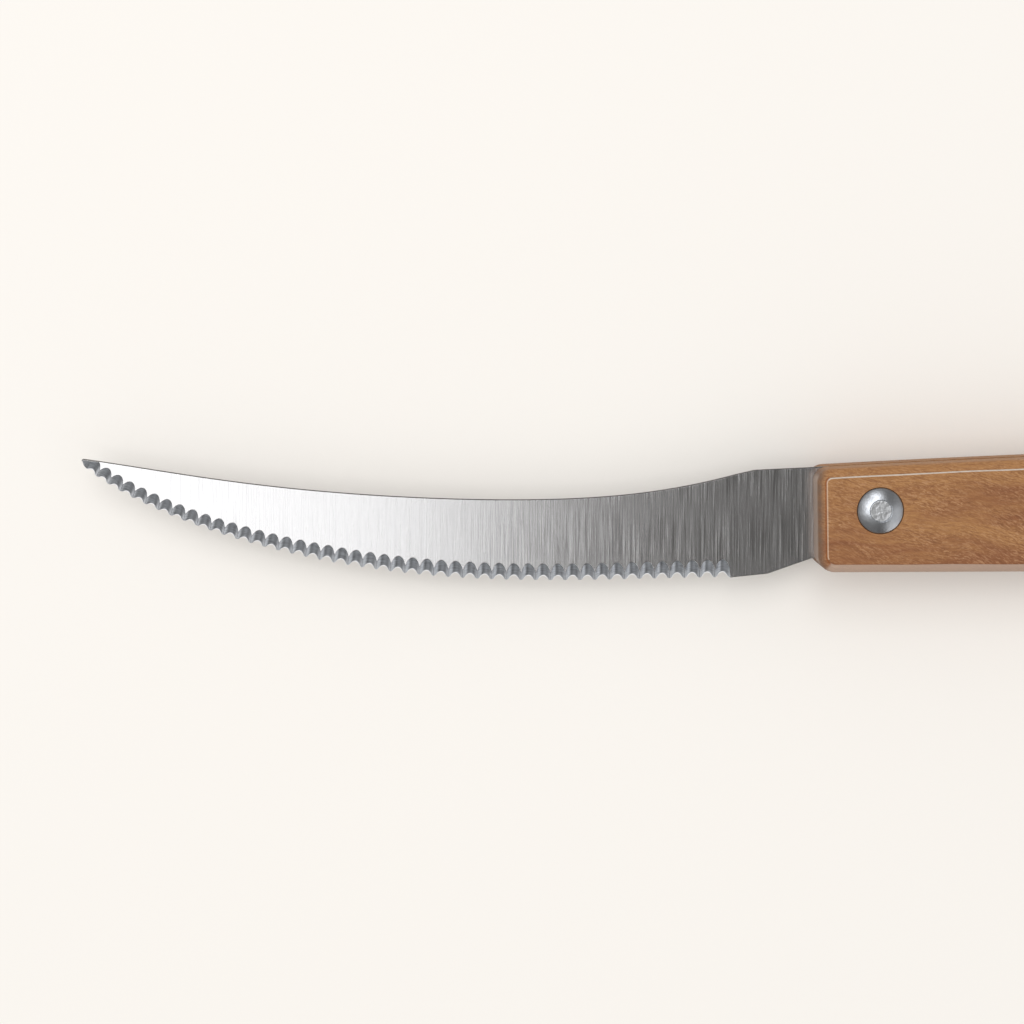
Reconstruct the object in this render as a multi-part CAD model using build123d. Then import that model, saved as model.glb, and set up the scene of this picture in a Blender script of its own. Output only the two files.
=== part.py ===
"""Tomato knife: a serrated stainless blade riveted into a slotted wooden handle.

Working frame: X runs along the knife with zero at the front of the handle and the tip at
negative X, Y runs up towards the spine with zero on the line of the rivets, and Z is
across the blade with zero at mid thickness. The ground teeth face positive Z. Before the
pieces are written they move together, so that the knife lies on its lower rivet heads
with the origin under the middle of its box.
"""
import os
from math import cos, radians, sin

from build123d import *

# Blade and tang, one stamping of stainless strip
blade_length = 120.0            # tip to the front of the handle
blade_height = 18.6             # spine at the handle down to the lowest teeth
strip_thickness = 1.1
grind_depth = 0.05              # taken off each face of the blade, not off the tang
tang_length = 68.0
tang_end_radius = 3.0
tip_radius = 0.25
shoulder_radius = 4.0           # where the spine rises to the handle
heel_radius = 2.0
tang_corner_radius = 0.8

# Serration, one groove for each tooth gap, ground from the front face only
serration_start = 0.3           # along the edge, from the tip to the even grooves
groove_count = 46               # even grooves
groove_radius = 1.3             # profile of the grinding wheel
groove_tilt = 26.5              # degrees between the groove and the face of the blade
tilt_change = 2.0               # degrees steeper at the tip and shallower at the heel
groove_reach = 2.65             # from the teeth up to the run-out
reach_shares = [0.82, 0.86, 0.98, 1.0, 1.01, 1.09]  # of that reach, from the tip to the heel
pitch_change_share = 0.05       # the pitch is this much shorter at the tip, longer at the heel
tip_groove_place = 0.2          # one groove more, across the blunt tip
tip_groove_reach = 1.8

# Handle, one piece of wood with a sawn slot
handle_length = 108.0
handle_thickness = 13.0
handle_below_heel = 1.75        # depth of the wood under the heel, at the front
handle_top_rise = 3.6           # rise of the upper edge from the front to the butt
handle_top_crown = 0.6          # how far its middle bows above a straight line
handle_bottom_rise = 0.4
front_slant = 0.45              # how far back the lower end of the front stands
front_top_radius = 2.8          # upper front corner, seen from the side
front_bottom_radius = 3.5
butt_bulge = 3.0
butt_corner_radius = 6.0
edge_radius = 1.25              # the round along every outer edge
edge_shoulder = 0.15            # step that the rounding cutter leaves round the flat sides
shoulder_inset = 0.05           # flat strip between the round and the step
slot_clearance = 0.05           # on each side of the tang
slot_end_clearance = 1.5

# Rivets: a pin peened over a domed washer on each side
front_rivet_place = 10.2        # behind the front of the handle
rear_rivet_margin = 9.6         # ahead of the end of the tang
pin_diameter = 3.0
pin_head_diameter = 3.5
pin_head_thickness = 0.3
washer_diameter = 7.45
washer_rim_height = 0.35
washer_dome_height = 1.15       # above the rim, if the dome went on to a full crown
washer_recess_depth = 0.35      # sunk in the crown for the peened end of the pin
seat_depth = 0.35               # flat-bottomed seat cut in the wood for each washer
seat_clearance = 0.1
washer_bore_clearance = 0.05
handle_bore_clearance = 0.1
tang_bore_clearance = 0.15
pin_head_clearance = 0.05

cut_overrun = 2.0               # how far a cutter passes through what it cuts

# Blade outline: shares of the blade's length ahead of the handle, and of its height below
# the level of the spine at the handle
spine_curve_shares = [(1.0, -0.074), (0.817, 0.088), (0.674, 0.354),
                      (0.403, 0.251), (0.302, 0.412), (0.101, 0.057)]
edge_curve_shares = [(0.998, -0.003), (0.876, 0.652), (0.562, 1.145),
                     (0.424, 1.008), (0.111, 0.980)]
spine_shoulder_share = (0.079, 0.025)
heel_corner_share = (0.060, 0.946)
heel_at_handle_share = 0.809
spine_rise_share = 0.042        # slope of the straight spine beside the handle
rivet_line_share = 0.355        # rivet line below the level of the spine at the handle
tang_front_share = 0.59         # height of the tang behind the handle's front
tang_rear_share = 0.48          # height of the tang at its end

blade_thickness = strip_thickness - 2 * grind_depth
spine_above_rivets = blade_height * rivet_line_share
heel_below_rivets = blade_height * heel_at_handle_share - spine_above_rivets
handle_top_front = spine_above_rivets
handle_top_rear = handle_top_front + handle_top_rise
handle_bottom_front = heel_below_rivets + handle_below_heel
handle_bottom_rear = handle_bottom_front - handle_bottom_rise
rivet_places = {"front": front_rivet_place, "rear": tang_length - rear_rivet_margin}
recess_radius = pin_head_diameter / 2 + pin_head_clearance


def blade_point(length_share, height_share):
    """A point of the blade's outline from its two shares."""
    return (-blade_length * length_share, spine_above_rivets - blade_height * height_share)


def round_corners(face, points, radius):
    """The face with the corners nearest to these points rounded."""
    corners = [face.vertices().sort_by_distance(Vector(*point))[0] for point in points]
    return fillet(corners, radius)


def blank_face():
    """Outline of the stamping: spine, shoulder, tang, heel, toothed edge and blunt tip."""
    spine = Bezier(*[blade_point(*share) for share in spine_curve_shares])
    edge = Bezier(*[blade_point(*share) for share in edge_curve_shares])
    tang_front = blade_height * tang_front_share / 2
    tang_rear = blade_height * tang_rear_share / 2
    step_down = [
        blade_point(*spine_shoulder_share),
        (front_top_radius, spine_above_rivets + spine_rise_share * front_top_radius),
        (front_top_radius, tang_front),
        (tang_length, tang_rear),
        (tang_length, -tang_rear),
        (edge_radius, -tang_front),
        (edge_radius, -heel_below_rivets),
        (0, -heel_below_rivets),
        blade_point(*heel_corner_share),
    ]
    back = Polyline(spine @ 1, *step_down, edge @ 1)
    tip = Line(edge @ 0, spine @ 0)
    face = make_face(Curve() + [spine, back, edge, tip])
    face = round_corners(face, [step_down[0]], shoulder_radius)
    face = round_corners(face, [step_down[-1]], heel_radius)
    face = round_corners(face, [step_down[3], step_down[4]], tang_end_radius)
    face = round_corners(face, [step_down[2], step_down[5]], tang_corner_radius)
    return round_corners(face, [spine @ 0, edge @ 0], tip_radius)


def groove_cutters():
    """Tilted cylinders along the edge, each square to the edge where it cuts."""
    edge = Bezier(*[blade_point(*share) for share in edge_curve_shares])
    places = [(tip_groove_place, tip_groove_reach, groove_tilt + tilt_change)]
    for number in range(groove_count):
        turn = (number + 0.5) / groove_count
        run = (1 - pitch_change_share) * turn + pitch_change_share * turn**2
        place = serration_start + (edge.length - serration_start) * run
        step, part = divmod(turn * (len(reach_shares) - 1), 1)
        before, after = reach_shares[int(step):int(step) + 2]
        reach = groove_reach * (before + (after - before) * part)
        places.append((place, reach, groove_tilt + tilt_change * (1 - 2 * turn)))
    cutters = []
    for place, reach, tilt in places:
        foot = edge @ (place / edge.length)
        tangent = edge % (place / edge.length)
        inward = Vector(-tangent.Y, tangent.X, 0)
        run_out = foot + inward * reach + Vector(0, 0, blade_thickness / 2)
        lean = radians(tilt)
        axis = inward * cos(lean) + Vector(0, 0, sin(lean))
        lift = Vector(0, 0, cos(lean)) - inward * sin(lean)
        length = 2 * (reach / cos(lean) + cut_overrun)
        middle = Plane(origin=run_out + lift * groove_radius, x_dir=tangent, z_dir=axis)
        cutters.append(middle * Cylinder(groove_radius, length))
    return cutters


def make_blade():
    """Stamped blank, ground on both faces ahead of the handle, then drilled and serrated."""
    blank = extrude(blank_face(), strip_thickness / 2, both=True)
    ground = Box(blade_length + cut_overrun, 2 * blade_height, strip_thickness,
                 align=(Align.MAX, Align.CENTER, Align.MIN))
    blank -= Pos(Z=blade_thickness / 2) * ground
    blank -= Pos(Z=-blade_thickness / 2 - strip_thickness) * ground
    hole = Cylinder(pin_diameter / 2 + tang_bore_clearance, strip_thickness + cut_overrun)
    blank -= [Pos(X=place) * hole for place in rivet_places.values()]
    return blank - groove_cutters()


def handle_outline():
    """Side view of the handle, a little deeper at the butt and rounded at its corners."""
    butt_start = handle_length - butt_bulge
    front_top = (0, handle_top_front)
    front_bottom = (front_slant, -handle_bottom_front)
    butt_top = (butt_start, handle_top_rear)
    butt_bottom = (butt_start, -handle_bottom_rear)
    top_middle = (butt_start / 2, (handle_top_front + handle_top_rear) / 2 + handle_top_crown)
    butt_middle = (handle_length, (handle_top_rear - handle_bottom_rear) / 2)
    outline = make_face(Curve() + [
        ThreePointArc(front_top, top_middle, butt_top),
        ThreePointArc(butt_top, butt_middle, butt_bottom),
        Line(butt_bottom, front_bottom),
        Line(front_bottom, front_top),
    ])
    outline = round_corners(outline, [front_top], front_top_radius)
    outline = round_corners(outline, [front_bottom], front_bottom_radius)
    return round_corners(outline, [butt_top, butt_bottom], butt_corner_radius)


def make_handle():
    """Rounded wooden body with a shoulder round each flat side, slot, seats and bores."""
    outline = handle_outline()
    core_thickness = handle_thickness - 2 * edge_shoulder
    body = extrude(outline, core_thickness / 2, both=True)
    levels = body.edges().group_by(Axis.Z)
    body = fillet(levels[0] + levels[-1], edge_radius)
    body += extrude(offset(outline, -edge_radius - shoulder_inset), handle_thickness / 2, both=True)
    slot = Box(tang_length + slot_end_clearance, 2 * (handle_top_rear + handle_bottom_rear),
               strip_thickness + 2 * slot_clearance,
               align=(Align.MIN, Align.CENTER, Align.CENTER))
    body -= slot
    bore = Cylinder(pin_diameter / 2 + handle_bore_clearance, handle_thickness + cut_overrun)
    seat = Cylinder(washer_diameter / 2 + seat_clearance, cut_overrun,
                    align=(Align.CENTER, Align.CENTER, Align.MIN))
    seat_floor = handle_thickness / 2 - seat_depth
    for place in rivet_places.values():
        body -= Pos(X=place) * bore
        body -= Pos(X=place, Z=seat_floor) * seat
        body -= Pos(X=place, Z=-seat_floor - cut_overrun) * seat
    return body


def washer_level(radius):
    """Height of the washer's dome over its seat, this far from its axis."""
    base = washer_diameter / 2
    ball = (base**2 + washer_dome_height**2) / (2 * washer_dome_height)
    return washer_rim_height + washer_dome_height - ball + (ball**2 - radius**2) ** 0.5


def make_washer():
    """Domed washer standing on its seat, with a bore and a recess for the peened pin."""
    base = washer_diameter / 2
    bore = pin_diameter / 2 + washer_bore_clearance
    middle = (base + recess_radius) / 2
    crown = washer_level(recess_radius)
    floor = crown - washer_recess_depth
    profile = make_face(Curve() + [
        Polyline((bore, 0), (base, 0), (base, washer_rim_height)),
        ThreePointArc((base, washer_rim_height), (middle, washer_level(middle)),
                      (recess_radius, crown)),
        Polyline((recess_radius, crown), (recess_radius, floor), (bore, floor), (bore, 0)),
    ])
    return revolve(Plane.XZ * profile, Axis.Z)


def make_pin():
    """Rivet pin with both ends peened out flat into the recesses of the washers."""
    head_floor = (handle_thickness / 2 - seat_depth + washer_level(recess_radius)
                  - washer_recess_depth)
    pin = Cylinder(pin_diameter / 2, 2 * head_floor)
    head = Cylinder(pin_head_diameter / 2, pin_head_thickness,
                    align=(Align.CENTER, Align.CENTER, Align.MIN))
    pin += Pos(Z=head_floor) * head
    pin += Pos(Z=-head_floor - pin_head_thickness) * head
    rims = pin.edges().group_by(Axis.Z)
    return fillet([rims[0][0], rims[-1][0]], pin_head_thickness / 2)


def make_pieces():
    """Every piece by name, in the working frame."""
    pieces = {"blade": make_blade(), "handle": make_handle()}
    seat_floor = handle_thickness / 2 - seat_depth
    for name, place in rivet_places.items():
        upper = Pos(X=place, Z=seat_floor) * make_washer()
        lower = Pos(X=place, Z=-seat_floor) * Rot(X=180) * make_washer()
        pieces[name + "_rivet_washer_upper"] = upper
        pieces[name + "_rivet_washer_lower"] = lower
        pieces[name + "_rivet_pin"] = Pos(X=place) * make_pin()
    return pieces


pieces = make_pieces()
box = Compound(list(pieces.values())).bounding_box()
to_origin = Pos(-box.center().X, -box.center().Y, -box.min.Z)
print("box", box.size, "handle front at", to_origin.position)

os.makedirs("parts", exist_ok=True)
for name, piece in pieces.items():
    export_step(to_origin * piece, f"parts/{name}.step")
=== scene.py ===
from math import atan2, cos, pi, radians, sin, sqrt, tan

import bpy
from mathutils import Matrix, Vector, geometry, noise


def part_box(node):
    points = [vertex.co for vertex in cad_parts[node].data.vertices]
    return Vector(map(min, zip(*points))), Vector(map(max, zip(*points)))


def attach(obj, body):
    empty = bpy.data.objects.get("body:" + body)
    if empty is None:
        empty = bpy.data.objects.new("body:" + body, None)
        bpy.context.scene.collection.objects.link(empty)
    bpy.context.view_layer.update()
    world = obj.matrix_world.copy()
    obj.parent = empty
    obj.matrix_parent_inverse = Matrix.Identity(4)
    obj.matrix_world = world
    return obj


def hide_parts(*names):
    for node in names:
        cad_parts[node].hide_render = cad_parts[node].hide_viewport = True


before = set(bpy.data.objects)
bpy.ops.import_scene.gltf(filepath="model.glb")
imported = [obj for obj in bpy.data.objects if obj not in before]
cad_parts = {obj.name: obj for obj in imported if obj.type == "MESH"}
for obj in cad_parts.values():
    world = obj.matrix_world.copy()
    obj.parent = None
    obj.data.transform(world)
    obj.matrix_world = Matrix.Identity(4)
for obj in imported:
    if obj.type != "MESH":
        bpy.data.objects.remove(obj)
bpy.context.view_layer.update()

# Blade. One stamping of stainless strip with a plain tang. Both faces are ground across the
# blade, which leaves fine upright lines, and the teeth are then cut from the front face alone
# by a row of tilted grooves.
mm = 0.001
handle_low, handle_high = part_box("handle")
blade_low, blade_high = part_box("blade")
washer_low, washer_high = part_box("front_rivet_washer_upper")
front_rivet_place = 10.2 * mm
knife_origin = Vector(((washer_low.x + washer_high.x) / 2 - front_rivet_place,
                       (washer_low.y + washer_high.y) / 2, (blade_low.z + blade_high.z) / 2))

blade_length = 120.0 * mm
blade_height = 18.6 * mm
tang_half = (blade_high.z - blade_low.z) / 2
grind_depth = 0.05 * mm
grind_end = 3.2 * mm            # the grinding runs on a little into the slot
blade_half = tang_half - grind_depth
spine_level = 0.355 * blade_height
heel_level = spine_level - 0.809 * blade_height
spine_shares = [(1.0, -0.074), (0.817, 0.088), (0.674, 0.354),
                (0.403, 0.251), (0.302, 0.412), (0.101, 0.057)]
edge_shares = [(0.998, -0.003), (0.876, 0.652), (0.562, 1.145),
               (0.424, 1.008), (0.111, 0.980)]
shoulder_share = (0.079, 0.025)
heel_share = (0.060, 0.946)
spine_rise_share = 0.042
shoulder_round = 4.0 * mm
heel_round = 2.0 * mm
tip_round = 0.25 * mm

tang_length = 68.0 * mm
tang_front = 0.59 * blade_height / 2
tang_rear = 0.48 * blade_height / 2
tang_end_round = 3.0 * mm
tang_corner_round = 0.8 * mm
top_step = 2.8 * mm             # the spine ends inside the slot
bottom_step = 1.25 * mm         # and so does the heel

serration_start = 0.3 * mm
groove_count = 46
groove_radius = 1.42 * mm
groove_tilt = 26.5              # degrees between a groove and the face of the blade
tilt_change = 2.0
groove_reach = 2.8 * mm
reach_shares = [0.82, 0.86, 0.98, 1.0, 1.01, 1.09]
pitch_change_share = 0.05
tip_groove_place = 0.2 * mm
tip_groove_reach = 1.8 * mm
burr_width = 0.14 * mm          # the flat lip that grinding leaves along the cutting edge
burr_height = 0.05 * mm
soft_edge = 0.035 * mm          # how far the sharp corners are broken
spine_soft = 0.10 * mm          # the spine is broken a little more
corner_share = 0.3              # where the middle of a broken corner lies
ridge_half = 0.6 * soft_edge    # half the blunt point between two grooves
tip_edge = 0.04 * mm            # where the tip's own rounding starts
heel_end = -0.02 * mm           # the bare heel stops just short of the handle's front
hair = 0.0001 * mm              # too little to see


def knife(x, y, z=0.0):
    """A point of the knife's own frame, which starts at the handle's front on the rivet line."""
    return knife_origin + Vector((x, y, z))


def eased(value, low, high):
    """Runs softly from 0 at one value to 1 at another."""
    part = min(1.0, max(0.0, (value - low) / (high - low)))
    return part * part * (3 - 2 * part)


def blade_point(length_share, height_share):
    """A point of the blade's outline from its two shares."""
    return Vector((-blade_length * length_share, spine_level - blade_height * height_share))


def bezier(points, share):
    """Point on the curve that these control points draw."""
    while len(points) > 1:
        points = [a.lerp(b, share) for a, b in zip(points, points[1:])]
    return points[0]


def rounded(before, corner, after, radius, steps=6):
    """Points of the arc that rounds the corner between two straight lines."""
    to_before = (before - corner).normalized()
    to_after = (after - corner).normalized()
    half_angle = to_before.angle(to_after) / 2
    middle = corner + (to_before + to_after).normalized() * radius / sin(half_angle)
    start = corner + to_before * radius / tan(half_angle) - middle
    turn = start.angle_signed(corner + to_after * radius / tan(half_angle) - middle)
    points = []
    for step in range(steps + 1):
        angle = -turn * step / steps
        points.append(middle + Vector((start.x * cos(angle) - start.y * sin(angle),
                                       start.x * sin(angle) + start.y * cos(angle))))
    return points


curve_steps = 1200
edge_controls = [blade_point(*share) for share in edge_shares]
edge_slopes = [b - a for a, b in zip(edge_controls, edge_controls[1:])]
edge_line = [bezier(edge_controls, step / curve_steps) for step in range(curve_steps + 1)]
edge_run = [0.0]
for before, after in zip(edge_line, edge_line[1:]):
    edge_run.append(edge_run[-1] + (after - before).length)
edge_length = edge_run[-1]

spine_steps = 300
spine_controls = [blade_point(*share) for share in spine_shares]
shoulder = blade_point(*shoulder_share)
spine_end = Vector((top_step, spine_level + spine_rise_share * top_step))
spine_line = [bezier(spine_controls, step / spine_steps) for step in range(spine_steps)]
spine_line += rounded(spine_controls[-1], shoulder, spine_end, shoulder_round)
spine_line.append(spine_end)

heel_corner = blade_point(*heel_share)
heel_at_handle = Vector((0, heel_level))
heel_line = [edge_controls[-1]] + rounded(edge_controls[-1], heel_corner, heel_at_handle, heel_round)
heel_line += [heel_at_handle, Vector((bottom_step, heel_level))]


def edge_place(distance):
    """Point of the toothed edge this far from the tip, with its direction there."""
    low, high = 0, curve_steps
    while high - low > 1:
        step = (low + high) // 2
        if edge_run[step] > distance:
            high = step
        else:
            low = step
    part = (distance - edge_run[low]) / (edge_run[high] - edge_run[low])
    share = (low + part) / curve_steps
    return bezier(edge_controls, share), bezier(edge_slopes, share).normalized()


def level_at(line, x):
    """Height of an outline at x, where the outline runs from left to right."""
    for a, b in zip(line, line[1:]):
        if a.x <= x <= b.x and b.x > a.x:
            return a.y + (b.y - a.y) * (x - a.x) / (b.x - a.x)
    return line[-1].y


def spine_over(foot, inward):
    """Distance from a point of the edge to the spine, straight inward."""
    far = foot + inward * 2 * blade_height
    for a, b in zip(spine_line, spine_line[1:]):
        hit = geometry.intersect_line_line_2d(foot, far, a, b)
        if hit:
            return (hit - foot).length
    return 0.0


groove_places = [(tip_groove_place, tip_groove_reach, groove_tilt + tilt_change)]
for number in range(groove_count):
    turn = (number + 0.5) / groove_count
    run = (1 - pitch_change_share) * turn + pitch_change_share * turn**2
    step = int(turn * (len(reach_shares) - 1))
    part = turn * (len(reach_shares) - 1) - step
    reach = groove_reach * (reach_shares[step] * (1 - part) + reach_shares[step + 1] * part)
    groove_places.append((serration_start + (edge_length - serration_start) * run, reach,
                          groove_tilt + tilt_change * (1 - 2 * turn)))
grooves = []
for centre, reach, tilt in groove_places:
    foot, along = edge_place(centre)
    grooves.append((centre, foot, along, Vector((-along.y, along.x)), reach, radians(tilt)))


def ground_level(point, near):
    """Height of the ground surface over mid thickness at a point."""
    level = blade_half
    for centre, foot, along, inward, reach, tilt in near:
        aside = (point - foot).dot(along)
        if abs(aside) < groove_radius:
            depth = (reach - (point - foot).dot(inward)) * tan(tilt)
            wall = (groove_radius - sqrt(groove_radius**2 - aside**2)) / cos(tilt)
            level = min(level, blade_half - depth + wall)
    return level


search_steps = 26


def meets(foot, inward, near, level, limit):
    """How far inward the ground surface comes up to a level."""
    if ground_level(foot, near) >= level:
        return 0.0
    low, high = 0.0, limit
    for _ in range(search_steps):
        middle = (low + high) / 2
        if ground_level(foot + inward * middle, near) < level:
            low = middle
        else:
            high = middle
    return high


groove_rows = 9
face_rows = 10
face_row_growth = 2.4           # the rows widen away from the teeth
back_rows = 7


def cross_section(foot, inward, height, half, near):
    """Points (inward, up) round the blade where it is cut square to the edge."""
    rim = meets(foot, inward, near, half - hair, height - 2 * spine_soft) if near else 0.0
    if rim < 2 * soft_edge:
        ring = [(0.0, -half), (0.0, -half * 0.5)]
        for row in range(groove_rows + 1):
            part = row / groove_rows
            ring.append((soft_edge * part, half - soft_edge * (1 - part)))
        rim = soft_edge
    else:
        lip_level = -half + burr_height
        lip = meets(foot, inward, near, lip_level, height - 2 * spine_soft)
        low_level = max(lip_level, ground_level(foot, near))
        lip_out = max(0.0, lip - burr_width)
        lip = max(lip, lip_out + 0.1 * soft_edge)
        ring = [(lip_out, -half), (lip_out, lip_level)]
        for row in range(groove_rows + 1):
            inset = lip + (rim - soft_edge - lip) * row / groove_rows
            level = ground_level(foot + inward * inset, near)
            ring.append((inset, min(half, max(low_level, level))))
        rim += soft_edge
    top = height - spine_soft
    ring.append((rim, half))
    start = min(rim + 2 * soft_edge, top)
    finish = max(start, top - spine_soft)
    for row in range(face_rows):
        part = (row / (face_rows - 1))**face_row_growth
        ring.append((start + (finish - start) * part, half))
    ring.append((top, half))
    corner = corner_share * spine_soft
    ring.append((height - corner, half - corner))
    ring.append((height, half - spine_soft))
    ring.append((height, spine_soft - half))
    ring.append((height - corner, corner - half))
    for row in range(back_rows):
        part = row / back_rows
        ring.append((top + (ring[0][0] - top) * part, -half))
    return ring


blade_points = []
scratch_places = []
section_feet = []


def add_section(foot, inward, height, half, near=()):
    """Adds one cut through the blade, with each point's place along its groove."""
    ring = cross_section(foot, inward, height, half, near)
    for inset, level in ring:
        point = foot + inward * inset
        point.x = max(point.x, blade_low.x - knife_origin.x)
        blade_points.append(knife(point.x, point.y, level))
        scratch_places.append(inset * cos(radians(groove_tilt)) + level * sin(radians(groove_tilt)))
    section_feet.append(foot)


tip_top = spine_line[0]
tip_foot = edge_line[0]
arch_steps = 9
groove_span = 2.2 * groove_radius   # grooves further off than this don't reach a section
centres = [groove[0] for groove in grooves]
stations = [0.0, tip_edge]
for number, centre in enumerate(centres):
    left = (centres[number - 1] + centre) / 2 if number else tip_edge
    right = (centre + centres[number + 1]) / 2 if number < groove_count else edge_length
    for step in range(-arch_steps, arch_steps + 1):
        station = centre + groove_radius * sin(pi / 2 * step / arch_steps)
        if left + soft_edge < station < right - soft_edge:
            stations.append(station)
    stations += [right - ridge_half, right + ridge_half]
stations = sorted(station for station in stations if station < edge_length - soft_edge)

for station in stations:
    foot, along = edge_place(station)
    inward = Vector((-along.y, along.x))
    near = [groove for groove in grooves if abs(groove[0] - station) < groove_span]
    if station < centres[1]:
        upright = (tip_top - tip_foot).normalized()
        inward = upright.lerp(inward, eased(station, 0.0, centres[1])).normalized()
    height = spine_over(foot, inward) if station else (tip_top - tip_foot).length
    if station < tip_round:
        pull = tip_round - sqrt(tip_round**2 - (tip_round - station)**2)
        foot = foot + inward * pull
        height -= 2 * pull
    add_section(foot, inward, height, blade_half, near)

upright = Vector((0, 1))
heel_steps = 26
for step in range(heel_steps + 1):
    x = edge_controls[-1].x + (heel_end - edge_controls[-1].x) * step / heel_steps
    foot = Vector((x, level_at(heel_line, x)))
    add_section(foot, upright, level_at(spine_line, x) - foot.y, blade_half)


def tang_level(x):
    """Half height of the tang, with its rounded end; the inside corners at its front are added apart.
    """
    level = tang_front + (tang_rear - tang_front) * (x - top_step) / (tang_length - top_step)
    if x > tang_length - tang_end_round:
        past = x - (tang_length - tang_end_round)
        level += sqrt(max(0.0, tang_end_round**2 - past**2)) - tang_end_round
    return level


def inside_corner(x, step):
    """How much an inside corner's round adds just behind a step."""
    ahead = max(0.0, tang_corner_round - (x - step))
    return tang_corner_round - sqrt(tang_corner_round**2 - ahead**2)


around_step = [-0.001, 0.001, 0.15, 0.35, 0.6]      # in millimetres, as the next ones are
before_end = [2.6, 1.8, 1.1, 0.6, 0.25, 0.07, 0.0]
tang_stations = [place * mm for place in (0.0, 0.6, 1.0, 2.2, 3.25, 3.7, 4.4)]
tang_stations += [place + past * mm for place in (bottom_step, top_step) for past in around_step]
tang_stations += [(5 + 2 * step) * mm for step in range(31)]
tang_stations += [tang_length - short * mm for short in before_end]
for x in sorted(tang_stations):
    half = tang_half if x > grind_end else blade_half
    top = level_at(spine_line, x) if x < top_step else tang_level(x) + inside_corner(x, top_step)
    bottom = heel_level if x < bottom_step else -tang_level(x) - inside_corner(x, bottom_step)
    add_section(Vector((x, bottom)), upright, top - bottom, half)

ring_size = len(blade_points) // len(section_feet)
groove_start = 2                # the rows of a section: lip, groove, face, spine and back
face_start = groove_start + groove_rows
spine_start = face_start + face_rows + 2
back_start = spine_start + 4
groove_finish, face_finish, edge_finish, burr_glint_finish = range(4)


def row_finish(row, toothed):
    """Which finish the blade has between two rows of its sections."""
    if row < face_start and not toothed:
        return edge_finish
    if row < groove_start:
        return burr_glint_finish
    if row < face_start:
        return groove_finish
    if row < spine_start or row >= back_start:
        return face_finish
    return edge_finish


def make_mesh(name, points, faces, finishes=None):
    """New smooth-shaded object from points, faces and the number of each face's finish."""
    mesh = bpy.data.meshes.new(name)
    mesh.from_pydata(points, [], faces)
    if finishes:
        mesh.polygons.foreach_set("material_index", finishes)
    mesh.shade_smooth()
    piece = bpy.data.objects.new(name, mesh)
    bpy.context.scene.collection.objects.link(piece)
    return piece


def turned(name, profile, centre, steps=96, waver=None):
    """A solid turned about an upright axis. Its profile of (radius, height) points is a closed
    ring, or starts and ends on the axis."""
    points = []
    rings = []
    for radius, height in profile:
        ring = []
        for step in range(steps if radius else 1):
            angle = 2 * pi * step / steps
            point = Vector((radius * cos(angle), radius * sin(angle), height))
            ring.append(len(points))
            points.append(centre + (waver(point) if waver else point))
        rings.append(ring)
    faces = []
    pairs = list(zip(rings, rings[1:]))
    if profile[0][0]:
        pairs.append((rings[-1], rings[0]))
    for below, above in pairs:
        for step in range(steps):
            after = (step + 1) % steps
            if len(below) == 1:
                faces.append((below[0], above[after], above[step]))
            elif len(above) == 1:
                faces.append((below[step], below[after], above[0]))
            else:
                faces.append((below[step], below[after], above[after], above[step]))
    return make_mesh(name, points, faces)


def cut_away(piece, *cutters):
    """Cuts the cutters out of a piece and leaves it a plain mesh."""
    for cutter in cutters:
        cut = piece.modifiers.new("cut", "BOOLEAN")
        cut.object = cutter
        cut.operation = "DIFFERENCE"
        cut.solver = "EXACT"
    whole = piece.evaluated_get(bpy.context.evaluated_depsgraph_get())
    piece.data = bpy.data.meshes.new_from_object(whole)
    piece.modifiers.clear()
    for cutter in cutters:
        bpy.data.objects.remove(cutter)


def keep_flats(piece):
    """Lets the shading turn on the small bevels and leaves the large faces flat."""
    even = piece.modifiers.new("flats", "WEIGHTED_NORMAL")
    even.keep_sharp = True
    even.weight = 90


blade_faces = []
blade_finishes = []
for number in range(len(section_feet) - 1):
    toothed = section_feet[number].x < edge_controls[-1].x
    here = number * ring_size
    there = here + ring_size
    for row in range(ring_size):
        after = (row + 1) % ring_size
        blade_faces.append((here + row, there + row, there + after, here + after))
        blade_finishes.append(row_finish(row, toothed))
last = (len(section_feet) - 1) * ring_size
blade_faces.append(tuple(range(ring_size)))
blade_faces.append(tuple(last + row for row in range(ring_size))[::-1])
blade_finishes += [edge_finish, edge_finish]
blade = make_mesh("stamped_blade", blade_points, blade_faces, blade_finishes)

scratches = blade.data.uv_layers.new(name="scratches")
for face in blade.data.polygons:
    for corner, number in zip(face.loop_indices, face.vertices):
        point = blade_points[number] - knife_origin
        if face.material_index == groove_finish:
            place = (scratch_places[number], point.x)
        elif face.material_index == face_finish:
            place = (point.x, point.y)
        else:
            place = (point.z, point.x)
        scratches.data[corner].uv = place

pin_radius = 1.5 * mm
tang_bore_clearance = 0.15 * mm
rivet_centres = {}
for side in ("front", "rear"):
    low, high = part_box(side + "_rivet_washer_upper")
    rivet_centres[side] = Vector(((low.x + high.x) / 2, knife_origin.y, knife_origin.z))
tang_drills = []
for centre in rivet_centres.values():
    radius = pin_radius + tang_bore_clearance
    profile = [(0, -2 * tang_half), (radius, -2 * tang_half),
               (radius, 2 * tang_half), (0, 2 * tang_half)]
    tang_drills.append(turned("drill", profile, centre, steps=48))


def node(tree, kind, inputs=(), **settings):
    """New shader node. Its inputs are pairs of a socket and a value or another node's output."""
    made = tree.nodes.new("ShaderNode" + kind)
    for setting, value in settings.items():
        setattr(made, setting, value)
    for socket, value in inputs:
        if isinstance(value, bpy.types.NodeSocket):
            tree.links.new(value, made.inputs[socket])
        else:
            made.inputs[socket].default_value = value
    return made


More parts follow.
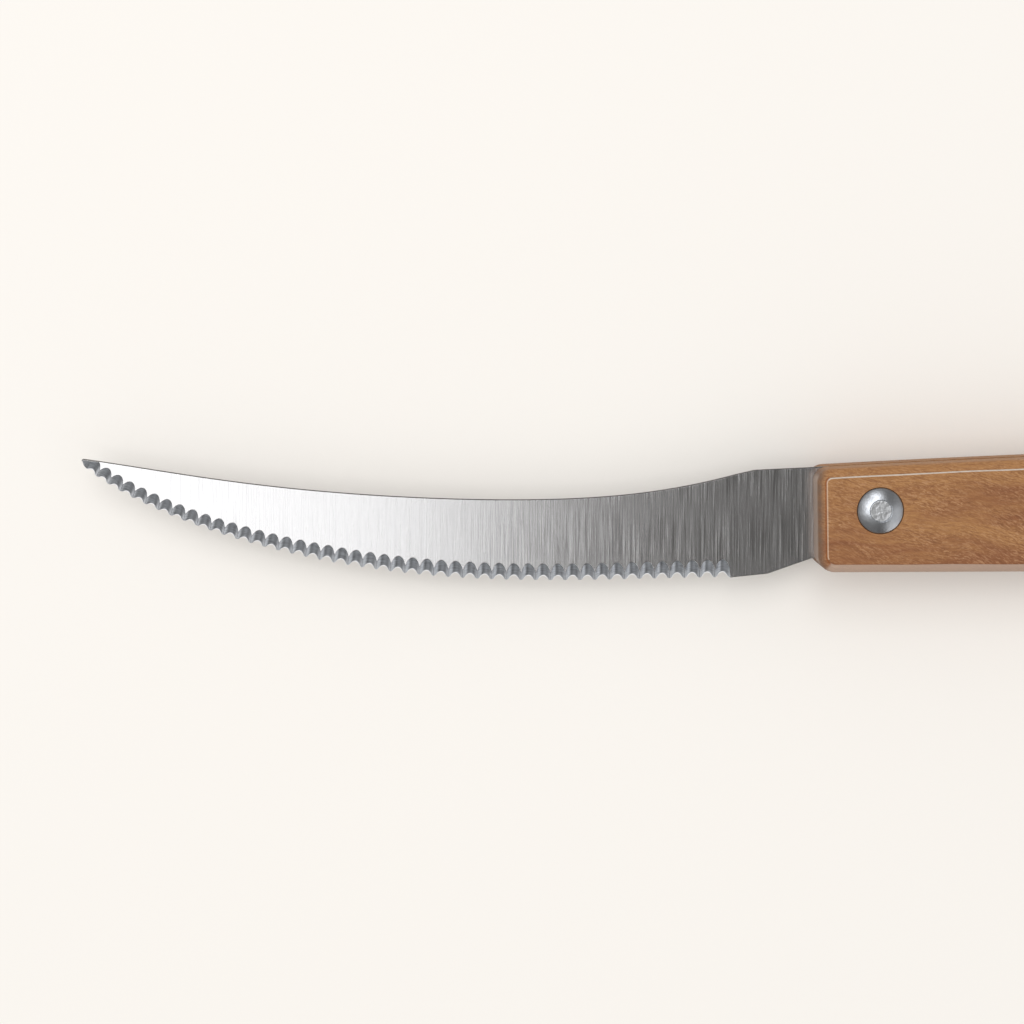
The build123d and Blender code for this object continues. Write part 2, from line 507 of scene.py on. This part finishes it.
def new_finish(name, **settings):
    """New material, its node tree and its surface shader with these settings."""
    material = bpy.data.materials.new(name)
    material.use_nodes = True
    surface = material.node_tree.nodes["Principled BSDF"]
    for socket, value in settings.items():
        surface.inputs[socket.replace("_", " ")].default_value = value
    return material, material.node_tree, surface


def blend_colours(tree, factor, first, second):
    """Colour between two colours by a factor."""
    mix = node(tree, "Mix", data_type="RGBA")
    tree.links.new(factor, mix.inputs["Factor"])
    for socket, value in (("A", first), ("B", second)):
        target = [s for s in mix.inputs if s.name == socket and s.type == "RGBA"][0]
        if isinstance(value, bpy.types.NodeSocket):
            tree.links.new(value, target)
        else:
            target.default_value = (*value, 1.0)
    return [s for s in mix.outputs if s.type == "RGBA"][0]


def worked_out(tree, operation, *values):
    """Result of one operation on these values."""
    return node(tree, "Math", enumerate(values), operation=operation).outputs[0]


def spread_out(tree, value, low, high, least=0.0, most=1.0):
    """Runs from least to most while a value runs from low to high."""
    return node(tree, "MapRange", [("Value", value), ("From Min", low), ("From Max", high),
                                   ("To Min", least), ("To Max", most)]).outputs[0]


def mottled(tree, place, spots, detail, roughness=0.6, distortion=0.0):
    """Noise with about this many spots a metre, as a value and as a colour."""
    return node(tree, "TexNoise", [("Vector", place), ("Scale", spots), ("Detail", detail),
                                   ("Roughness", roughness), ("Distortion", distortion)]).outputs


def bumped(tree, height, depth, under=None):
    """Bumps of this depth, over other bumps where there are any."""
    bumps = node(tree, "Bump", [("Height", height), ("Distance", depth)])
    if under:
        tree.links.new(under, bumps.inputs["Normal"])
    return bumps.outputs[0]


def scratched(name, light, dark, smooth, rough, layers, contrast=0.3, pull=0.4):
    """Steel with scratches, which are rough and smooth by turns. Each layer is (lines a metre,
    length factor, depth)."""
    material, tree, surface = new_finish(name, Metallic=1.0, Anisotropic=pull)
    place = node(tree, "UVMap", uv_map="scratches").outputs["UV"]
    normal = None
    grains = []
    for lines, length, depth in layers:
        scale = (lines, lines / length, 1.0)
        stretched = node(tree, "Mapping", [("Vector", place), ("Scale", scale)])
        grains.append(mottled(tree, stretched.outputs[0], 1.0, 3.0)[0])
        normal = bumped(tree, grains[-1], depth, normal)
    spread = spread_out(tree, grains[0], 0.5 - contrast / 2, 0.5 + contrast / 2)
    matt = spread_out(tree, spread, 0.0, 1.0, smooth, rough)
    tangent = node(tree, "Tangent", direction_type="UV_MAP", uv_map="scratches")
    tree.links.new(blend_colours(tree, spread, dark, light), surface.inputs["Base Color"])
    tree.links.new(matt, surface.inputs["Roughness"])
    tree.links.new(normal, surface.inputs["Normal"])
    tree.links.new(tangent.outputs[0], surface.inputs["Tangent"])
    return material


groove_steel = scratched("groove_steel", light=(0.68, 0.72, 0.78), dark=(0.45, 0.48, 0.53),
                         smooth=0.35, rough=0.46, pull=0.7,
                         layers=[(6000.0, 12.0, 0.010 * mm), (18000.0, 20.0, 0.002 * mm)])
# Painted glint: near-white and not metallic, so the lip along the cutting edge shows as a bright
# line.
burr_glint_white = new_finish("burr_glint_white", Base_Color=(0.95, 0.95, 0.96, 1.0), Roughness=0.3)[0]
face_steel = scratched("face_steel", light=(0.70, 0.70, 0.71), dark=(0.50, 0.50, 0.51),
                       smooth=0.10, rough=0.28, contrast=0.34, pull=0.3,
                       layers=[(7500.0, 80.0, 0.004 * mm), (12000.0, 60.0, 0.002 * mm),
                               (700.0, 12.0, 0.010 * mm)])
# Painted shade: steel far darker than it is, so that the spine and the bare edges read as a dark
# line.
shade_darkened_edge_steel = scratched("shade_darkened_edge_steel", light=(0.14, 0.13, 0.125), dark=(0.08, 0.075, 0.07),
                       smooth=0.30, rough=0.45, pull=0.3,
                       layers=[(9000.0, 20.0, 0.003 * mm)])
for finish in (groove_steel, face_steel, shade_darkened_edge_steel, burr_glint_white):
    blade.data.materials.append(finish)
cut_away(blade, *tang_drills)
keep_flats(blade)
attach(blade, "root")
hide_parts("blade")

# Handle. One piece of hardwood, rounded over by a cutter that leaves a small step round each flat
# side, slotted by a saw for the tang, drilled for two rivets and oiled. Its colour carries painted
# light: a pale painted highlight along the steps, painted shade at the foot of the front step, and a
# pale painted sheen on the front wall and the lower edge.
handle_length = handle_high.x - knife_origin.x
handle_half = (handle_high.z - handle_low.z) / 2
handle_below_heel = 1.75 * mm
handle_bottom_front = handle_below_heel - heel_level
handle_bottom_rise = 0.4 * mm
handle_top_rise = 3.6 * mm
handle_top_crown = 0.6 * mm
butt_bulge = 3.0 * mm
front_slant = 0.45 * mm
front_top_round = 2.3 * mm
front_bottom_round = 2.8 * mm
butt_round = 6.0 * mm
wood_round = 1.37 * mm
step_height = 0.15 * mm
step_run = 0.21 * mm
step_foot = 0.02 * mm           # the narrow ledge where the step meets the round
foot_rise = 0.01 * mm
waver_depth = 0.09 * mm         # how far sanding leaves the sides from true
waver_length = 9.0 * mm
slot_half = tang_half + 0.05 * mm
slot_length = tang_length + 1.5 * mm
bore_radius = pin_radius + 0.1 * mm
seat_clearance = 0.1 * mm
seat_depth = 0.35 * mm
overrun = 1.0 * mm              # how far the cutters stand out of the wood
sharp_turn = 50.0               # degrees from which an edge stays sharp

side_length = handle_length - butt_bulge
top_front = Vector((0, spine_level))
top_butt = Vector((side_length, spine_level + handle_top_rise))
bottom_front = Vector((front_slant, -handle_bottom_front))
bottom_butt = Vector((side_length, handle_bottom_rise - handle_bottom_front))
top_start = Vector((1, (handle_top_rise + 4 * handle_top_crown) / side_length))
top_finish = Vector((1, (handle_top_rise - 4 * handle_top_crown) / side_length))
half_chord = (top_butt.y - bottom_butt.y) / 2
butt_radius = (half_chord**2 + butt_bulge**2) / (2 * butt_bulge)
butt_centre = Vector((handle_length - butt_radius, (top_butt.y + bottom_butt.y) / 2))


def arc_points(middle, start, finish, steps):
    """Points of a clockwise arc between two points."""
    first = atan2(start.y - middle.y, start.x - middle.x)
    turn = (atan2(finish.y - middle.y, finish.x - middle.x) - first) % (-2 * pi)
    radius = (start - middle).length
    points = []
    for step in range(steps + 1):
        angle = first + turn * step / steps
        points.append(middle + Vector((cos(angle), sin(angle))) * radius)
    return points


def butt_corner(corner, direction, side):
    """Points where a side runs to the butt: the arc that meets both, clockwise."""
    along = direction.normalized()
    inside = Vector((along.y, -along.x)) * side * butt_round
    near = corner + inside
    hits = geometry.intersect_line_sphere_2d(near - along * handle_length,
                                             near + along * handle_length,
                                             butt_centre, butt_radius - butt_round, False)
    middle = max((hit for hit in hits if hit), key=lambda hit: hit.x)
    on_side = middle - inside
    on_butt = middle + (middle - butt_centre).normalized() * butt_round
    return middle, on_side, on_butt


top_middle, top_leave, butt_meet = butt_corner(top_butt, top_finish, 1)
bottom_slope = bottom_butt - bottom_front
bottom_middle, bottom_leave, butt_leave = butt_corner(bottom_butt, bottom_slope, -1)
front_arc_steps = 14
front_top_arc = rounded(bottom_front, top_front, top_front + top_start, front_top_round,
                        front_arc_steps)
front_bottom_arc = rounded(bottom_butt, bottom_front, top_front, front_bottom_round,
                           front_arc_steps)

top_steps = 110
top_points = []
for step in range(1, top_steps):
    x = front_top_arc[-1].x + (top_leave.x - front_top_arc[-1].x) * step / top_steps
    share = x / side_length
    rise = handle_top_rise * share + 4 * handle_top_crown * share * (1 - share)
    top_points.append(Vector((x, spine_level + rise)))
bottom_steps = 100
bottom_points = [bottom_leave.lerp(front_bottom_arc[0], step / bottom_steps)
                 for step in range(1, bottom_steps)]
front_steps = 12
front_points = [front_bottom_arc[-1].lerp(front_top_arc[0], step / front_steps)
                for step in range(1, front_steps)]
butt_arc_steps = 20
butt_steps = 28
outline = front_top_arc + top_points
outline += arc_points(top_middle, top_leave, butt_meet, butt_arc_steps)
outline += arc_points(butt_centre, butt_meet, butt_leave, butt_steps)[1:-1]
outline += arc_points(bottom_middle, butt_leave, bottom_leave, butt_arc_steps)
outline += bottom_points + front_bottom_arc + front_points

outward = []
for number, point in enumerate(outline):
    along = outline[(number + 1) % len(outline)] - outline[number - 1]
    outward.append(Vector((-along.y, along.x)).normalized())

round_steps = 9
step_rows = 5
side_shares = (0.0, 0.4, 0.8)
core_half = handle_half - step_height
side_half = core_half - wood_round


def wood_rows():
    """Pairs of inset and level from mid thickness up to the flat, for half of the handle."""
    rows = [(0.0, side_half * share) for share in side_shares]
    for step in range(round_steps + 1):
        angle = pi / 2 * step / round_steps
        rows.append((wood_round * (1 - cos(angle)), side_half + wood_round * sin(angle)))
    for step in range(step_rows + 1):
        angle = pi / 2 * step / step_rows
        rows.append((wood_round + step_foot + step_run * (1 - cos(angle)),
                     core_half + foot_rise + (step_height - foot_rise) * sin(angle)))
    rows.append((wood_round + step_foot + 2 * step_run, handle_half))
    return rows


# Painted sheen: this share lies on the lower side wall, rising to full over the lower round.
side_sheen = 0.35


def sheen_at(out, over):
    """How much pale painted sheen the wood gets, by where a side faces and how far over its round it
    is.
    """
    front = eased(-out.x, 0.80, 0.97) * (1 - eased(over, 0.0, 0.5))
    lower = side_sheen + (1 - side_sheen) * eased(over, 0.0, 0.35)
    return max(front, eased(-out.y, 0.75, 0.92) * lower)


upper_rows = wood_rows()
rows = [(inset, -level) for inset, level in upper_rows[::-1]] + upper_rows[1:]
handle_points = []
sheen_amounts = []
for inset, level in rows:
    over = max(0.0, (abs(level) - side_half) / wood_round)
    for point, out in zip(outline, outward):
        sheen_amounts.append(sheen_at(out, over) if inset <= wood_round + hair else 0.0)
        place = Vector((point.x / waver_length, point.y / waver_length, level / handle_half))
        waver = noise.noise(place) * waver_depth * min(1.0, inset / wood_round)
        spot = point - out * (inset + waver)
        spot.y = min(spot.y, handle_high.y - knife_origin.y)
        handle_points.append(knife(spot.x, spot.y, level))
count = len(outline)
handle_faces = []
for row in range(len(rows) - 1):
    for number in range(count):
        after = (number + 1) % count
        here, there = row * count, (row + 1) * count
        handle_faces.append((here + after, here + number, there + number, there + after))
handle_faces.append(tuple(range(count)))
handle_faces.append(tuple((len(rows) - 1) * count + number for number in range(count))[::-1])
wood_finish, top_step_highlight_finish, step_foot_shade_finish, step_highlight_finish = range(4)
handle_finishes = [wood_finish] * len(handle_faces)


def set_finish(low, high, finish, wanted):
    """Gives a finish to the faces between two heights off mid thickness, on the wanted sides."""
    for row in range(len(rows) - 1):
        levels = sorted((abs(rows[row][1]), abs(rows[row + 1][1])))
        if low - hair <= levels[0] < levels[1] <= high + hair:
            for number, out in enumerate(outward):
                if wanted(out):
                    handle_finishes[row * count + number] = finish


joint = core_half + foot_rise
# Painted shade: darker, redder wood in the inner corner at the foot of the step on the front.
step_foot_shade_start = core_half - 0.03 * mm
set_finish(step_foot_shade_start, joint, step_foot_shade_finish, lambda out: out.x < -0.5)
# Pale painted highlight along the step round each flat side except the lower one, and a greyer
# painted highlight along the top.
set_finish(joint, handle_half, step_highlight_finish, lambda out: out.y > -0.5)
set_finish(joint, handle_half, top_step_highlight_finish, lambda out: out.y > 0.6)
handle = make_mesh("wooden_handle", handle_points, handle_faces, handle_finishes)
# A UV map carries how much pale painted sheen each point of the handle gets.
wash = handle.data.uv_layers.new(name="wash")
for face in handle.data.polygons:
    for corner, number in zip(face.loop_indices, face.vertices):
        wash.data[corner].uv = (sheen_amounts[number], 0.0)

washer_radius = (washer_high.x - washer_low.x) / 2
saw_points = [knife(x, y, z) for x in (-overrun, slot_length)
              for y in (-handle_length, handle_length) for z in (-slot_half, slot_half)]
saw_faces = [(0, 1, 3, 2), (4, 6, 7, 5), (0, 4, 5, 1), (2, 3, 7, 6), (0, 2, 6, 4), (1, 5, 7, 3)]
saw = make_mesh("saw", saw_points, saw_faces)
cutters = [saw]
for centre in rivet_centres.values():
    seat_radius = washer_radius + seat_clearance
    seat_floor = handle_half - seat_depth
    drill_end = handle_half + overrun
    profile = [(0, -drill_end), (seat_radius, -drill_end), (seat_radius, -seat_floor),
               (bore_radius, -seat_floor), (bore_radius, seat_floor), (seat_radius, seat_floor),
               (seat_radius, drill_end), (0, drill_end)]
    cutters.append(turned("seat_drill", profile, centre))

# Colour of the pale painted sheen on the front wall and the lower edge.
painted_sheen_colour = (0.447, 0.343, 0.279)


def part_along(tree, vector, axis):
    """One coordinate of a vector."""
    return node(tree, "SeparateXYZ", [(0, vector)]).outputs[axis]


def drawn_out(tree, place, slant, scale, detail, distortion=0.0):
    """Noise drawn out along lines that slant down towards the butt."""
    turn = (0, 0, radians(slant))
    slanted = node(tree, "Mapping", [("Vector", place), ("Rotation", turn)])
    stretched = node(tree, "Mapping", [("Vector", slanted.outputs[0]), ("Scale", scale)])
    return mottled(tree, stretched.outputs[0], 1.0, detail, distortion=distortion)[0]


def end_grain_over(tree, body, place, fibres, end_grain, streak):
    """Rings and pores over the body of the wood, where it is cut across."""
    facing = part_along(tree, node(tree, "NewGeometry").outputs["True Normal"], 0)
    end_part = spread_out(tree, worked_out(tree, "ABSOLUTE", facing), 0.15, 0.7)
    rings = node(tree, "TexWave", [("Vector", place), ("Scale", 150.0), ("Distortion", 5.0),
                                   ("Detail", 3.0), ("Detail Scale", 2.0)], bands_direction="Y")
    ring_part = spread_out(tree, rings.outputs[0], 0.0, 1.0, most=0.25)
    pore_part = spread_out(tree, fibres, 0.45, 0.65, most=0.45)
    end_body = blend_colours(tree, ring_part, end_grain, body)
    end_body = blend_colours(tree, pore_part, end_body, streak)
    return blend_colours(tree, end_part, body, end_body)


def sheen_over(tree, body):
    """The pale painted sheen over the body of the wood, on the front wall and the lower edge."""
    sheen_share = part_along(tree, node(tree, "UVMap", uv_map="wash").outputs["UV"], 0)
    sheen_part = spread_out(tree, sheen_share, 0.0, 1.0, most=0.7)
    return blend_colours(tree, sheen_part, body, painted_sheen_colour)


def grained(name, light, dark, fleck, streak, end_grain, roughness):
    """Oiled wood of fine grain along X: a redder heart, broad bands and short slanting flecks."""
    material, tree, surface = new_finish(name, Roughness=roughness, Specular_IOR_Level=0.22,
                                         Coat_Weight=0.03, Coat_Roughness=0.3)
    place = node(tree, "TexCoord").outputs["Object"]
    wander = mottled(tree, place, 75.0, 1.0, roughness=0.5)["Color"]
    wandering = node(tree, "VectorMath", [(0, wander), (1, (0, 4.0 * mm, 0)), (2, place)],
                     operation="MULTIPLY_ADD").outputs[0]
    bands = drawn_out(tree, wandering, 3, (30.0, 210.0, 210.0), 3.0, 0.6)
    fibres = drawn_out(tree, wandering, 9, (420.0, 4600.0, 4600.0), 3.0, 0.5)
    flecks = drawn_out(tree, wandering, 23, (1150.0, 4800.0, 3200.0), 3.0, 1.0)
    patches = drawn_out(tree, wandering, 12, (90.0, 260.0, 260.0), 2.0)
    height = part_along(tree, place, 1)
    sapwood = spread_out(tree, height, handle_low.y, handle_high.y, -0.10, 0.18)
    bands = worked_out(tree, "ADD", bands, sapwood)
    body = blend_colours(tree, spread_out(tree, bands, 0.38, 0.62), dark, light)
    body = blend_colours(tree, spread_out(tree, fibres, 0.44, 0.66, most=0.55), body, streak)
    strength = spread_out(tree, patches, 0.35, 0.62, least=0.25)
    for low, high, most, colour in ((0.50, 0.64, 0.58, fleck), (0.50, 0.36, 0.64, streak)):
        part = spread_out(tree, flecks, low, high, most=most)
        body = blend_colours(tree, worked_out(tree, "MULTIPLY", part, strength), body, colour)
    body = end_grain_over(tree, body, place, fibres, end_grain, streak)
    body = sheen_over(tree, body)
    tree.links.new(body, surface.inputs["Base Color"])
    pores = bumped(tree, fibres, 0.015 * mm)
    tree.links.new(bumped(tree, flecks, 0.03 * mm, pores), surface.inputs["Normal"])
    return material


wood = grained("oiled_wood", light=(0.38, 0.186, 0.069), dark=(0.25, 0.098, 0.040),
               fleck=(0.49, 0.28, 0.150), streak=(0.18, 0.070, 0.030),
               end_grain=(0.19, 0.120, 0.080), roughness=0.56)
# Greyer pale painted highlight along the top step.
top_step_highlight_wood = grained("top_step_highlight_wood", light=(0.56, 0.49, 0.43), dark=(0.50, 0.43, 0.37),
                    fleck=(0.60, 0.53, 0.47), streak=(0.42, 0.34, 0.28),
                    end_grain=(0.34, 0.28, 0.23), roughness=0.4)
# Painted shade in the inner corner at the foot of the front step.
step_foot_shade_wood = grained("step_foot_shade_wood", light=(0.30, 0.105, 0.030), dark=(0.23, 0.075, 0.022),
                    fleck=(0.36, 0.14, 0.045), streak=(0.17, 0.060, 0.020),
                    end_grain=(0.24, 0.090, 0.030), roughness=0.5)
# Pale painted highlight along the steps at the front and the butt.
step_highlight_wood = grained("step_highlight_wood", light=(0.56, 0.38, 0.26), dark=(0.48, 0.31, 0.205),
                      fleck=(0.64, 0.46, 0.33), streak=(0.38, 0.23, 0.15),
                      end_grain=(0.50, 0.34, 0.24), roughness=0.45)
for finish in (wood, top_step_highlight_wood, step_foot_shade_wood, step_highlight_wood):
    handle.data.materials.append(finish)
cut_away(handle, *cutters)
handle.data.set_sharp_from_angle(angle=radians(sharp_turn))
keep_flats(handle)
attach(handle, "root")
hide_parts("handle")

# Rivets. Two soft aluminium pins, each peened over a domed washer on either side. The hammered
# ends are rough, and the washers are dull from tumbling.
washer_rim = 0.35 * mm
dome_height = 1.15 * mm
recess_radius = 1.8 * mm
recess_depth = 0.35 * mm
washer_bore = 1.55 * mm
head_radius = 1.785 * mm
head_height = 0.3 * mm
head_side = 0.14 * mm           # where the head's side starts to turn, under its top
head_round = 0.12 * mm
head_hollow = 0.055 * mm        # keeps the dents of the head's face under its top
shank_share = 0.97              # a ring of the shank close under the head
dent_depth = 0.035 * mm
dent_size = 0.6 * mm
foot_break = 0.06 * mm          # how far the washer's corners are broken
rim_break = 0.08 * mm
dome_inset = 0.05 * mm
recess_break = 0.02 * mm
ball = (washer_radius**2 + dome_height**2) / (2 * dome_height)


def dome_level(radius):
    """Height of the washer's dome over its seat."""
    return washer_rim + dome_height - ball + sqrt(ball**2 - radius**2)


dome_steps = 22
dome_start = washer_radius - dome_inset
dome_end = recess_radius + recess_break
washer_profile = [(washer_bore, 0.0), (washer_radius - foot_break, 0.0),
                  (washer_radius, foot_break), (washer_radius, washer_rim - rim_break),
                  (washer_radius - rim_break / 4, washer_rim - rim_break / 8)]
for step in range(1, dome_steps + 1):
    radius = dome_start + (dome_end - dome_start) * step / dome_steps
    washer_profile.append((radius, dome_level(radius)))
crown = dome_level(recess_radius)
washer_profile += [(recess_radius, crown - 1.5 * recess_break),
                   (recess_radius, crown - recess_depth), (washer_bore, crown - recess_depth)]


def dented(seed, depth, size):
    """A waver that dents the upper face of a turned piece near its axis."""
    def waver(point):
        spot = Vector((point.x, point.y, 0)) / size + Vector((seed, 0, 0))
        dent = noise.fractal(spot, 0.8, 2.0, 4) * depth
        return point + Vector((0, 0, dent if point.z > 0 else -dent))
    return waver


def dull_metal(name, light, dark, roughness, dent):
    """Aluminium with a cloudy skin, fine grit and shallow dents of this depth."""
    material, tree, surface = new_finish(name, Metallic=1.0, Roughness=roughness)
    place = node(tree, "TexCoord").outputs["Object"]
    cloud = mottled(tree, place, 1400.0, 4.0)[0]
    grit = mottled(tree, place, 9000.0, 3.0, roughness=0.5)[0]
    tree.links.new(blend_colours(tree, cloud, dark, light), surface.inputs["Base Color"])
    fine = bumped(tree, grit, 0.004 * mm)
    tree.links.new(bumped(tree, cloud, dent, fine), surface.inputs["Normal"])
    return material


aluminium = dull_metal("aluminium", light=(0.74, 0.77, 0.81), dark=(0.58, 0.61, 0.66),
                       roughness=0.33, dent=0.03 * mm)
peened = dull_metal("peened_aluminium", light=(0.92, 0.94, 0.96), dark=(0.66, 0.68, 0.71),
                    roughness=0.42, dent=0.06 * mm)

face_rings = 14
for number, (side, centre) in enumerate(rivet_centres.items()):
    seat = handle_half - seat_depth
    for level, facing in (("upper", 1), ("lower", -1)):
        profile = [(radius, facing * (seat + height)) for radius, height in washer_profile]
        washer = turned(f"{side}_washer_{level}", profile[::facing], centre)
        washer.data.materials.append(aluminium)
        keep_flats(washer)
        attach(washer, "root")
        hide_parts(f"{side}_rivet_washer_{level}")
    low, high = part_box(side + "_rivet_pin")
    head_top = (high.z - low.z) / 2
    head_foot = head_top - head_height
    face_radius = head_radius - head_round
    upper = [(pin_radius, head_foot * shank_share), (pin_radius, head_foot), (head_radius, head_foot),
             (head_radius, head_top - head_side),
             (head_radius - head_round / 3, head_top - head_round / 2),
             (face_radius, head_top - head_round / 4)]
    for step in range(1, face_rings + 1):
        upper.append((face_radius * (1 - step / face_rings), head_top - head_hollow))
    profile = [(radius, -height) for radius, height in upper[::-1]] + upper
    pin = turned(f"{side}_pin", profile, centre,
                 waver=dented(seed=7.0 * number + 3.0, depth=dent_depth, size=dent_size))
    pin.data.materials.append(peened)
    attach(pin, "root")
    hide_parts(side + "_rivet_pin")

# Floor, light and camera. A plain pale table under one large soft light on the left and one from
# the spine's side, with weak ones at the right. Grey cards all round are seen only in reflections.
# The camera looks down on the knife and leans a little towards the spine.
table = new_finish("pale_table", Base_Color=(0.86, 0.835, 0.80, 1.0), Roughness=0.9,
                   Specular_IOR_Level=0.0)[0]
table_half = 6.0


def flat_card(name, corners, finish):
    """A flat rectangle of the stage."""
    card = make_mesh(name, corners, [(0, 1, 2, 3)])
    card.data.materials.append(finish)
    return card


flat_card("table", [(-table_half, -table_half, 0), (table_half, -table_half, 0),
                    (table_half, table_half, 0), (-table_half, table_half, 0)], table)

world_light = 0.76
world = bpy.data.worlds.new("studio")
bpy.context.scene.world = world
world.use_nodes = True
tree = world.node_tree
backdrop = tree.nodes["Background"]
backdrop.inputs["Color"].default_value = (1.0, 0.985, 0.965, 1.0)
path = node(tree, "LightPath")
seen = worked_out(tree, "MAXIMUM", path.outputs["Is Camera Ray"],
                  path.outputs["Is Transmission Ray"])
seen = worked_out(tree, "MAXIMUM", seen, path.outputs["Is Glossy Ray"])
tree.links.new(spread_out(tree, seen, 0.0, 1.0, world_light, 1.0), backdrop.inputs["Strength"])


def soft_light(name, centre, target, width, height, strength):
    """A rectangular lamp of this brightness that faces a point and doesn't show itself."""
    data = bpy.data.lights.new(name, "AREA")
    data.shape = "RECTANGLE"
    data.size = width
    data.size_y = height
    data.energy = strength * width * height * pi
    lamp = bpy.data.objects.new(name, data)
    lamp.location = centre
    lamp.rotation_euler = (Vector(target) - Vector(centre)).to_track_quat("-Z", "Y").to_euler()
    lamp.visible_camera = False
    bpy.context.scene.collection.objects.link(lamp)


soft_light("key", (-0.38, 0.10, 1.0), (-0.38, 0.10, 0), 0.64, 0.80, 1.52)
soft_light("key_left", (-0.50, 0.10, 0.99), (-0.50, 0.10, 0), 0.40, 0.80, 0.35)
soft_light("window", (-0.04, 0.56, 1.0), (0, 0, 0), 0.40, 0.60, 2.8)
soft_light("fill", (0.90, -0.30, 0.75), (0, 0, 0), 1.0, 0.80, 0.40)
soft_light("side", (0.90, -0.80, 0.17), (0, 0, 0), 0.90, 0.28, 0.55)

room_left, room_right = -1.3, 1.3
room_front, room_back = -1.0, 1.2
ceiling = 1.02


def grey_card(name, shade, corners):
    """A grey card that is seen only in reflections."""
    grey = new_finish(name, Base_Color=(shade, shade, shade, 1.0), Roughness=0.9)[0]
    card = flat_card(name, corners, grey)
    card.visible_camera = False
    card.visible_diffuse = False
    card.visible_shadow = False


def ceiling_card(name, shade, start, end):
    """A card over the knife between two places along it."""
    grey_card(name, shade, [(start, room_front, ceiling), (end, room_front, ceiling),
                            (end, room_back, ceiling), (start, room_back, ceiling)])


def upright_card(name, shade, start, end):
    """A card that stands on the table between two places (x, y)."""
    grey_card(name, shade, [(*start, 0), (*end, 0), (*end, ceiling), (*start, ceiling)])


ceiling_card("ceiling_card", 0.155, 0.04, room_right)
ceiling_card("ceiling_middle_card", 0.28, -0.06, 0.04)
ceiling_card("ceiling_left_card", 0.3, room_left, -0.06)
upright_card("right_card", 0.3, (room_right, room_front), (room_right, room_back))
upright_card("left_card", 0.17, (room_left, room_front), (room_left, room_back))
upright_card("upper_card", 0.2, (room_left, room_back), (room_right, room_back))
upright_card("lower_left_card", 0.16, (room_left, room_front), (0.1, room_front))
upright_card("lower_card", 0.04, (0.1, room_front), (0.5, room_front))
upright_card("lower_right_card", 0.8, (0.5, room_front), (room_right, room_front))

view_distance = 350.0 * mm
view_lean = radians(5.5)
aim = knife(-49.35 * mm, -0.82 * mm)
picture_width = 1024.0
pixel_size = 0.1647 * mm
camera_data = bpy.data.cameras.new("view")
camera_data.sensor_width = 36.0
camera_data.lens = camera_data.sensor_width * view_distance / (pixel_size * picture_width)
camera = bpy.data.objects.new("view", camera_data)
camera.location = aim + Vector((0, sin(view_lean), cos(view_lean))) * view_distance
camera.rotation_euler = (-view_lean, 0, 0)
bpy.context.scene.collection.objects.link(camera)
bpy.context.scene.camera = camera
bpy.context.scene.view_settings.view_transform = "Standard"
